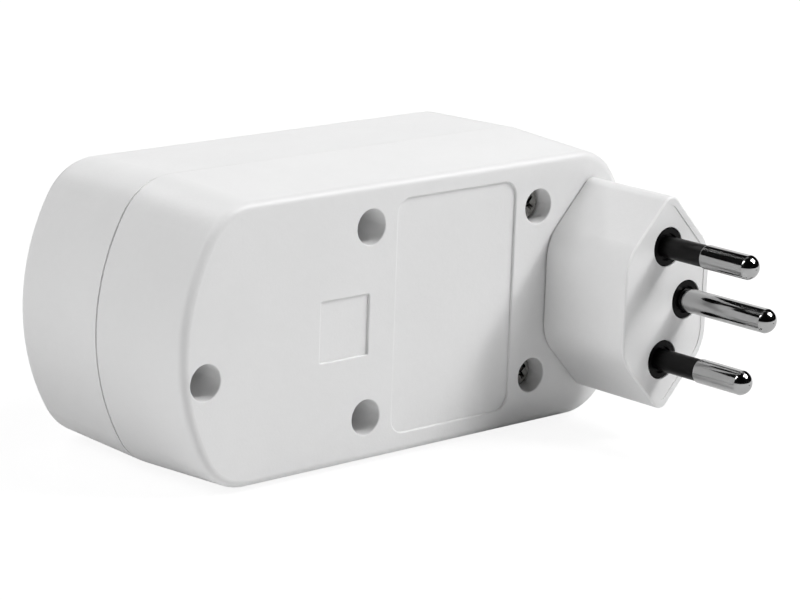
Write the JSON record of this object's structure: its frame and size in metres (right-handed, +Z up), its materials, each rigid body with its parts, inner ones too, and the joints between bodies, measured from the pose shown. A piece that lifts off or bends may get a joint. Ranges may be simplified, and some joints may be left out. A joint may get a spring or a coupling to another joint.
{
  "type": "multi socket adapter",
  "caption": "Plug-in mains adapter: boxed two-part casing with a hexagonal three-pin plug block at one end of the back, recessed sockets and USB ports on the front.",
  "frame": {"origin": "centre of the bounding box, on the plane that the casing rests on when it lies on its long side", "axes": "+X along the casing towards the plug end, -Y the way the plug pins point, +Z up, with the line pin above"},
  "size_m": [0.0996, 0.0784, 0.0468],
  "materials": {
    "shell_white": "satin, lightly spark-eroded",
    "plug_white": "satin",
    "insert_white": "satin",
    "shutter_grey": "satin",
    "black_plastic": "semi-matt",
    "nickel": "bright nickel plate",
    "zinc_steel": "zinc plated",
    "contact_brass": "stamped sheet",
    "spring_steel": "drawn wire",
    "board_green": "solder mask",
    "port_steel": "nickel plated sheet",
    "tongue_white": "moulded",
    "contact_gold": "gold flash",
    "ferrite": "sintered",
    "winding_tape": "polyester tape",
    "capacitor_sleeve": "shrink sleeve",
    "resistor_body": "lacquer",
    "lead_brown": "insulated wire",
    "lead_blue": "insulated wire"
  },
  "bodies": {
    "housing": {"rear_shell": "shell_white", "front_shell": "shell_white", "plug_body": "plug_white", "pin_holder": "black_plastic", "line_pin": "nickel", "neutral_pin": "nickel", "earth_pin": "nickel", "line_pin_sleeve": "black_plastic", "neutral_pin_sleeve": "black_plastic", "housing_screws": "zinc_steel", "plug_screw": "zinc_steel", "contact_carrier": "insert_white", "line_busbar": "contact_brass", "neutral_busbar": "contact_brass", "earth_busbar": "contact_brass", "socket_floor_a": "insert_white", "socket_floor_b": "insert_white", "shutter_guide_a": "insert_white", "shutter_guide_b": "insert_white", "shutter_springs_a": "spring_steel", "shutter_springs_b": "spring_steel", "usb_board": "board_green", "usb_port_a": "port_steel", "usb_port_b": "port_steel", "usb_tongue_a": "tongue_white", "usb_tongue_b": "tongue_white", "usb_contacts": "contact_gold", "transformer_core": "ferrite", "transformer_winding": "winding_tape", "input_capacitors": "capacitor_sleeve", "output_capacitors": "capacitor_sleeve", "output_inductor": "ferrite", "fuse_resistor": "resistor_body", "controller_chip": "black_plastic", "rectifier": "black_plastic", "line_lead": "lead_brown", "neutral_lead": "lead_blue"},
    "shutter_a": {"shutter_a": "shutter_grey"},
    "shutter_b": {"shutter_b": "shutter_grey"}
  },
  "joints": [
    {"name": "shutter_a_slide", "type": "slide", "parent": "housing", "child": "shutter_a", "axis": [1, 0, 0], "range_m": [0, 0.00505], "stiffness_N_per_m": 60, "springref_m": -0.004, "deforming": ["shutter_springs_a"]},
    {"name": "shutter_b_slide", "type": "slide", "parent": "housing", "child": "shutter_b", "axis": [1, 0, 0], "range_m": [0, 0.00505], "stiffness_N_per_m": 60, "springref_m": -0.004, "deforming": ["shutter_springs_b"]}
  ]
}
